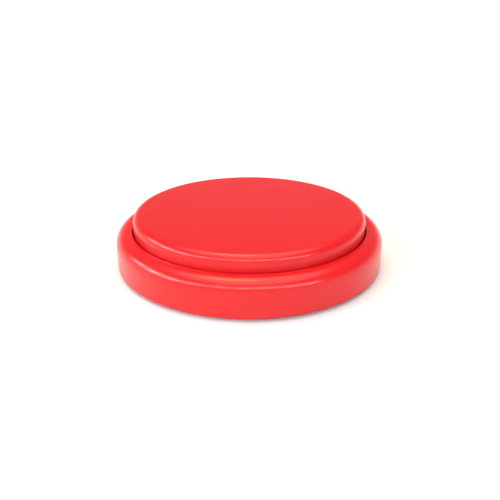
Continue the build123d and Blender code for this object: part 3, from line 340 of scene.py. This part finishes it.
# Speaker cone with a rolled surround and a dust cap, facing down
SPEAKER = (-20, 17, 0)
CONE_PROFILE = [
    (0, 4.85), (1.2, 4.9), (2.4, 5.08), (3.2, 5.4), (3.45, 5.62), (3.6, 5.5), (9.7, 3.95), (10.0, 3.8),
    (10.3, 3.55), (10.8, 3.42), (11.25, 3.55), (11.5, 3.72), (12.1, 3.72), (12.1, 4.05), (11.4, 4.05),
    (11.15, 3.85), (10.8, 3.72), (10.45, 3.85), (10.1, 4.08), (9.8, 4.22), (3.7, 5.8), (0, 5.8),
]
cone = piece("cone_shell", *turned(CONE_PROFILE, steps=96, centre=SPEAKER), "cone_paper")
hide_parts("speaker_cone")

# Solder where the leads meet the board and the speaker's terminals
BOARD_TOP, TERMINAL_TOP = 6.2, 5.9
SOLDER_PROFILE = [(0, 0), (0.95, 0), (0.9, 0.12), (0.75, 0.3), (0.62, 0.5), (0.54, 0.7), (0, 0.75)]
SOLDER_AT = (
    (-2.6, -2.4, BOARD_TOP), (-2.6, -0.6, BOARD_TOP), (-2.4, 15.2, BOARD_TOP), (-2.4, 18.8, BOARD_TOP),
    (30.0, -1.4, BOARD_TOP), (27.4, -1.4, BOARD_TOP), (-7.0, 15.2, TERMINAL_TOP), (-7.0, 18.8, TERMINAL_TOP),
)
piece("solder_joints", *joined([turned(SOLDER_PROFILE, 24, at) for at in SOLDER_AT]), "contact_plate")

# Tinned tracks on the board, each from one point to another
TRACK_WIDTH, TRACK_LOW, TRACK_HIGH = 0.7, 6.19, 6.24
TRACKS = (
    ((-2.6, 0.4), (-2.6, 8.0)), ((-2.6, 8.0), (3.2, 8.0)), ((3.2, 8.0), (3.2, 14.0)),
    ((3.2, 14.0), (9.6, 14.0)), ((-1.4, 15.2), (8.6, 15.2)), ((-1.4, 18.8), (8.6, 18.8)),
    ((30.0, -0.4), (30.0, 17.0)), ((17.4, 17.0), (30.0, 17.0)), ((27.4, -0.4), (27.4, 7.6)),
    ((17.4, 7.6), (27.4, 7.6)), ((17.4, 20.5), (22.0, 20.5)), ((22.0, 20.5), (22.0, 27.5)),
    ((6.0, 23.0), (10.6, 23.0)), ((6.0, 23.0), (6.0, 28.5)), ((13.0, 23.6), (13.0, 30.0)),
)
half = TRACK_WIDTH / 2
tracks = [
    box((x0 - half, y0 - half, TRACK_LOW), (x1 + half, y1 + half, TRACK_HIGH)) for (x0, y0), (x1, y1) in TRACKS
]
# Tinned ends on the chip resistors
RESISTORS_X, END_OFFSET, END_HALF = (6.6, 11.1, 15.6), 1.4, 0.25
END_Y, END_Z = (8.98, 10.62), (BOARD_TOP, 6.93)
ends_x = [x + side * END_OFFSET for x in RESISTORS_X for side in (-1, 1)]
ends = [box((x - END_HALF, END_Y[0], END_Z[0]), (x + END_HALF, END_Y[1], END_Z[1])) for x in ends_x]
piece("board_tracks", *joined(tracks + ends), "contact_plate")

# Aluminium end of the capacitor inside its rolled sleeve
CAPACITOR = (26.0, 11.5, 0)
CAPACITOR_PROFILE = [(0, 13.1), (2.05, 13.1), (2.05, 13.22), (1.9, 13.27), (0, 13.27)]
piece("capacitor_end", *turned(CAPACITOR_PROFILE, 48, CAPACITOR), "basket_steel")


# ---------------------------------------------------------------- floor, lights and camera

FLOOR_HALF = 8.0                # metres
FLOOR_PALE, FLOOR_DULLER, FLOOR_CLOUD_SCALE = (0.79, 0.8, 0.82), (0.78, 0.79, 0.81), 6
FLOOR_ROUGHNESS, FLOOR_GLOSS = 0.9, 0.1
SENSOR_WIDTH, LENS = 36.0, 43.456
CAMERA_AT, CAMERA_TILT = (0.3, -214.8, 97.8), 23.78    # millimetres, and degrees below the horizontal
# Softboxes in front and at the sides: side, elevation and power
STRIPS = (
    (-106, 21, 0.45), (-86, 21, 0.78), (-66, 21, 0.75), (-46, 25, 0.42), (-26, 30, 0.36), (-6, 31, 0.42),
    (14, 31, 0.4), (34, 26, 0.42), (52, 21, 0.4),
)
STRIP_WIDTH = 14


def make_floor():
    """A pale floor, wide enough to fill the frame up to the horizon."""
    mesh = bpy.data.meshes.new("floor")
    corners = [(x * FLOOR_HALF, y * FLOOR_HALF, 0) for x, y in ((-1, -1), (1, -1), (1, 1), (-1, 1))]
    mesh.from_pydata(corners, [], [(0, 1, 2, 3)])
    floor = bpy.data.objects.new("floor", mesh)
    bpy.context.scene.collection.objects.link(floor)
    material, tree, shader = new_material("floor")
    cloud = spread(tree, noise(tree, FLOOR_CLOUD_SCALE), 0, 1)
    tree.links.new(two_colours(tree, cloud, FLOOR_PALE, FLOOR_DULLER), shader.inputs["Base Color"])
    shader.inputs["Roughness"].default_value = FLOOR_ROUGHNESS
    shader.inputs["Specular IOR Level"].default_value = FLOOR_GLOSS
    mesh.materials.append(material)


def soft_light(name, side, elevation, width, power, colour=(1, 1, 1)):
    """A far softbox: side is degrees to the right of the front, width is its size in degrees."""
    light = bpy.data.lights.new(name, "SUN")
    light.angle = math.radians(width)
    light.energy = power
    light.color = colour
    lamp = bpy.data.objects.new(name, light)
    lamp.rotation_euler = (math.radians(90 - elevation), 0, math.radians(side))
    bpy.context.scene.collection.objects.link(lamp)


def make_world(sky, horizon, top):
    """A soft sky: bright at the horizon, falling to an even sky above the direction height top."""
    world = bpy.data.worlds.new("world")
    world.use_nodes = True
    tree = world.node_tree
    where = tree.nodes.new("ShaderNodeTexCoord")
    split = tree.nodes.new("ShaderNodeSeparateXYZ")
    fade = tree.nodes.new("ShaderNodeMapRange")
    fade.interpolation_type = "SMOOTHSTEP"
    fade.inputs["From Min"].default_value = 0.0
    fade.inputs["From Max"].default_value = top
    fade.inputs["To Min"].default_value = horizon
    fade.inputs["To Max"].default_value = sky
    tree.links.new(where.outputs["Generated"], split.inputs["Vector"])
    tree.links.new(split.outputs["Z"], fade.inputs["Value"])
    tree.links.new(fade.outputs["Result"], tree.nodes["Background"].inputs["Strength"])
    tree.nodes["Background"].inputs["Color"].default_value = (1, 1, 1, 1)
    bpy.context.scene.world = world


def make_camera():
    """The photograph's view: from the front, a little above, with a moderate lens."""
    camera = bpy.data.cameras.new("camera")
    camera.sensor_width = SENSOR_WIDTH
    camera.lens = LENS
    camera.clip_start = 0.01
    camera.clip_end = 50
    eye = bpy.data.objects.new("camera", camera)
    eye.location = [MM * c for c in CAMERA_AT]
    eye.rotation_euler = (math.radians(90 - CAMERA_TILT), 0, 0)
    bpy.context.scene.collection.objects.link(eye)
    bpy.context.scene.camera = eye


make_floor()
make_world(sky=0.25, horizon=1.0, top=0.26)
for side, elevation, power in STRIPS:
    soft_light("strip", side, elevation, STRIP_WIDTH, power)
soft_light("overhead", side=0, elevation=90, width=70, power=2.0)
soft_light("warm_overhead", side=-150, elevation=78, width=20, power=1.2, colour=(1.0, 0.42, 0.03))
make_camera()
bpy.context.scene.view_settings.view_transform = "Standard"
